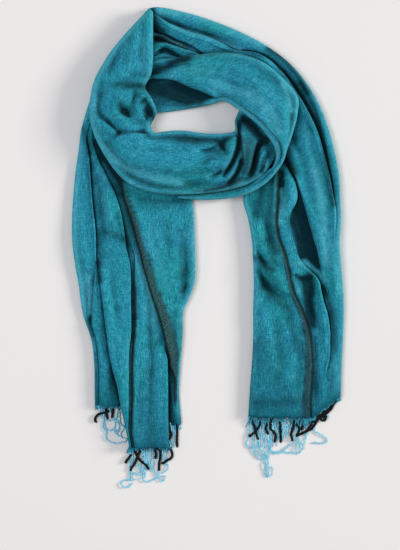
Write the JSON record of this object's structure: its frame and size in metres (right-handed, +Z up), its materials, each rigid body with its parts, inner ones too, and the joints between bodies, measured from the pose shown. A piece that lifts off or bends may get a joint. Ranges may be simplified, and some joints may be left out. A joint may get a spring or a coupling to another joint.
{
  "type": "shawl",
  "caption": "Long woven wool shawl laid flat as worn, with one loop round an open neck hole, two hanging tails and fringed hems.",
  "frame": {"origin": "on the surface that the shawl lies on, under the middle of its bounding box", "axes": "+Z up off the surface, +Y from the fringed hems towards the loop, +X to the right seen from above"},
  "size_m": [0.384, 0.6707, 0.0444],
  "materials": {
    "wool_cloth": "heathered teal wool, soft nap, brown-teal selvedge bands",
    "black_yarn": "black plied wool yarn",
    "blue_yarn": "light blue crinkled yarn"
  },
  "bodies": {
    "root": {"left_tail": "wool_cloth", "outer_band": "wool_cloth", "right_tail": "wool_cloth", "front_wrap": "wool_cloth", "neck_band": "wool_cloth", "back_fringe_black": "black_yarn", "back_fringe_blue": "blue_yarn", "front_fringe_black": "black_yarn", "front_fringe_blue": "blue_yarn", "side_fringe_black": "black_yarn", "side_fringe_blue": "blue_yarn", "right_fringe_black": "black_yarn", "right_fringe_blue": "blue_yarn"}
  },
  "joints": []
}
